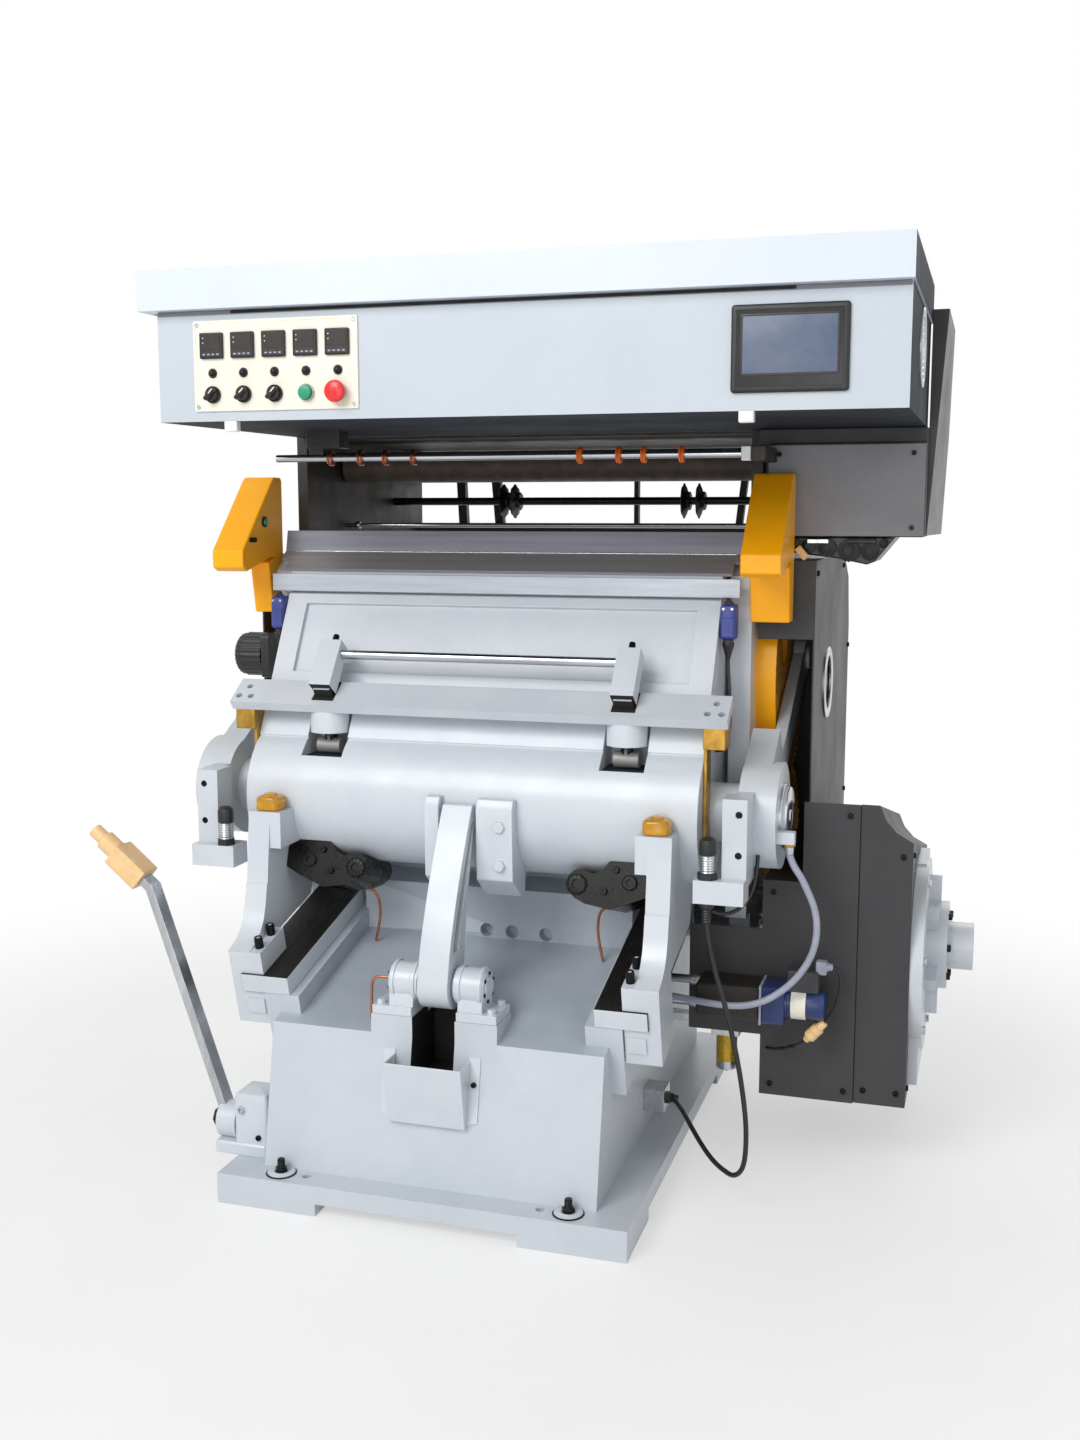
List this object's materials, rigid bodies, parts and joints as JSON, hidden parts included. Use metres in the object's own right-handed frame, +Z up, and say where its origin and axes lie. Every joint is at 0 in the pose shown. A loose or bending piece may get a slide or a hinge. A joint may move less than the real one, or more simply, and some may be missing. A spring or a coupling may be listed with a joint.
{
  "type": "hot foil stamping machine",
  "caption": "Floor-standing hot foil stamping press: a rocking platen on inclined rails, a foil feed, guarded side drive and an overhead control hood with a hinged lid.",
  "frame": {"origin": "floor level at the centre of the four anchor holes in the base flange", "axes": "+Z up; -Y towards the operator at the front; +X to the operator's right, where the drive guards are"},
  "size_m": [1.7855, 1.4, 1.836],
  "materials": {
    "grey_paint": "semi-gloss hammer-free machine enamel",
    "hood_paint": "satin powder coat",
    "lid_paint": "satin powder coat",
    "charcoal_paint": "satin powder coat",
    "black_paint": "satin",
    "brown_steel": "dull",
    "oiled_iron": "oiled, ground",
    "bright_steel": "turned",
    "polished_steel": "polished",
    "black_plastic": "matt",
    "yellow_paint": "gloss",
    "gold_zinc": "yellow zinc plate",
    "blue_paint": "gloss",
    "blue_plastic": "matt",
    "amber_plastic": "translucent gloss",
    "cream_plastic": "matt",
    "orange_plastic": "gloss",
    "panel_white": "satin",
    "green_plastic": "gloss",
    "red_plastic": "gloss",
    "dark_rubber": "matt",
    "grey_rubber": "matt",
    "black_rubber": "matt"
  },
  "bodies": {
    "frame": {"base_casting": "grey_paint", "drip_tray": "grey_paint", "bed_frame": "grey_paint", "pillow_blocks": "grey_paint", "clutch_housing": "grey_paint", "lever_bracket": "grey_paint", "hood_body": "hood_paint", "column_guard": "charcoal_paint", "gear_guards": "charcoal_paint", "flywheel_guard": "charcoal_paint", "foil_drive_box": "charcoal_paint", "main_motor": "charcoal_paint", "side_panel": "black_paint", "left_motor": "black_paint", "foil_frame": "brown_steel", "slide_rails": "oiled_iron", "levelling_bolts": "bright_steel", "heating_plate": "bright_steel", "guide_rods": "bright_steel", "filter_regulator": "bright_steel", "panel_instruments": "black_plastic", "touch_panel": "black_plastic", "guard_arms": "yellow_paint", "gear_motor": "blue_paint", "guide_rings": "orange_plastic", "control_panel": "panel_white"},
    "carriage": {"saddles": "grey_paint", "slide_shoes": "black_paint", "oil_cups": "amber_plastic", "connecting_rods": "grey_paint", "sensor_brackets": "grey_paint", "proximity_sensors": "black_plastic", "sensor_cable": "black_rubber", "grey_hose": "grey_rubber"},
    "platen": {"platen_casting": "grey_paint", "apron": "polished_steel", "beam": "grey_paint", "beam_rollers": "bright_steel", "rod_clamps": "grey_paint", "grip_rod": "polished_steel", "end_brackets": "gold_zinc", "guide_bracket": "grey_paint", "limit_switches": "blue_plastic", "switch_cables": "black_rubber"},
    "trip_bar": {"trip_bar": "polished_steel"},
    "guide_arm": {"guide_arm": "grey_paint"},
    "hood_lid": {"hood_lid": "lid_paint"},
    "selector_1": {"selector_1": "black_plastic"},
    "selector_2": {"selector_2": "black_plastic"},
    "selector_3": {"selector_3": "black_plastic"},
    "start_button": {"start_button": "green_plastic"},
    "stop_button": {"stop_button": "red_plastic"},
    "throw_lever": {"throw_lever": "bright_steel", "lever_grip": "cream_plastic"},
    "crank": {"crank_gears": "yellow_paint"},
    "idler": {"idler_gear": "yellow_paint"},
    "pinion": {"pinion_shaft": "bright_steel"},
    "flywheel": {"flywheel": "bright_steel"},
    "foil_shaft": {"foil_shaft": "black_paint"},
    "feed_roller": {"feed_roller": "dark_rubber"}
  },
  "joints": [
    {"name": "carriage_slide", "type": "slide", "parent": "frame", "child": "carriage", "axis": [0, -0.9681, -0.2504], "range_m": [0, 0.05], "deforming": ["sensor_cable", "grey_hose"]},
    {"name": "platen_swing", "type": "hinge", "parent": "carriage", "child": "platen", "pos_m": [0, -0.115, 0.775], "axis": [1, 0, 0], "range_deg": [0, 36.01]},
    {"name": "arm_swing", "type": "hinge", "parent": "frame", "child": "guide_arm", "pos_m": [0, -0.39, 0.45], "axis": [1, 0, 0], "range_deg": [0, 8.6]},
    {"name": "crank_turn", "type": "hinge", "parent": "frame", "child": "crank", "pos_m": [0, 0.33, 1.022], "axis": [1, 0, 0], "range_deg": [0, 90.1]},
    {"name": "idler_turn", "type": "hinge", "parent": "frame", "child": "idler", "pos_m": [0.571, 0.36858, 0.61583], "axis": [1, 0, 0], "range_deg": [-128.8, 0]},
    {"name": "pinion_turn", "type": "hinge", "parent": "frame", "child": "pinion", "pos_m": [0.571, 0.2, 0.445], "axis": [1, 0, 0], "range_deg": [0, 300.3]},
    {"name": "trip_bar_slide", "type": "slide", "parent": "platen", "child": "trip_bar", "axis": [0, 1, 0], "range_m": [0, 0.006], "stiffness_N_per_m": 3000},
    {"name": "lid_hinge", "type": "hinge", "parent": "frame", "child": "hood_lid", "pos_m": [0, 0.135, 1.752], "axis": [-1, 0, 0], "range_deg": [0, 75]},
    {"name": "selector_1_turn", "type": "hinge", "parent": "frame", "child": "selector_1", "pos_m": [-0.412, -0.5, 1.603], "axis": [0, 1, 0], "range_deg": [-90, 0]},
    {"name": "selector_2_turn", "type": "hinge", "parent": "frame", "child": "selector_2", "pos_m": [-0.347, -0.5, 1.603], "axis": [0, 1, 0], "range_deg": [-90, 0]},
    {"name": "selector_3_turn", "type": "hinge", "parent": "frame", "child": "selector_3", "pos_m": [-0.282, -0.5, 1.603], "axis": [0, 1, 0], "range_deg": [-90, 0]},
    {"name": "start_press", "type": "slide", "parent": "frame", "child": "start_button", "axis": [0, 1, 0], "range_m": [0, 0.004], "stiffness_N_per_m": 300},
    {"name": "stop_press", "type": "slide", "parent": "frame", "child": "stop_button", "axis": [0, 1, 0], "range_m": [0, 0.004], "stiffness_N_per_m": 300},
    {"name": "lever_throw", "type": "hinge", "parent": "frame", "child": "throw_lever", "pos_m": [-0.46, -0.42, 0.122], "axis": [1, 0, 0], "range_deg": [-25, 20]},
    {"name": "flywheel_spin", "type": "hinge", "parent": "frame", "child": "flywheel", "pos_m": [0.834, 0.2, 0.445], "axis": [1, 0, 0], "continuous": true},
    {"name": "foil_shaft_spin", "type": "hinge", "parent": "frame", "child": "foil_shaft", "pos_m": [0, 0.65, 1.41], "axis": [1, 0, 0], "continuous": true},
    {"name": "roller_spin", "type": "hinge", "parent": "frame", "child": "feed_roller", "pos_m": [0, 0.35, 1.49], "axis": [1, 0, 0], "continuous": true}
  ],
  "couplings": [
    {"joint": "platen_swing", "follows": "carriage_slide", "rad_per_m": 12.566},
    {"joint": "arm_swing", "follows": "carriage_slide", "rad_per_m": 2.9845},
    {"joint": "crank_turn", "follows": "carriage_slide", "rad_per_m": 31.416},
    {"joint": "idler_turn", "follows": "carriage_slide", "rad_per_m": -44.88},
    {"joint": "pinion_turn", "follows": "carriage_slide", "rad_per_m": 104.72}
  ]
}
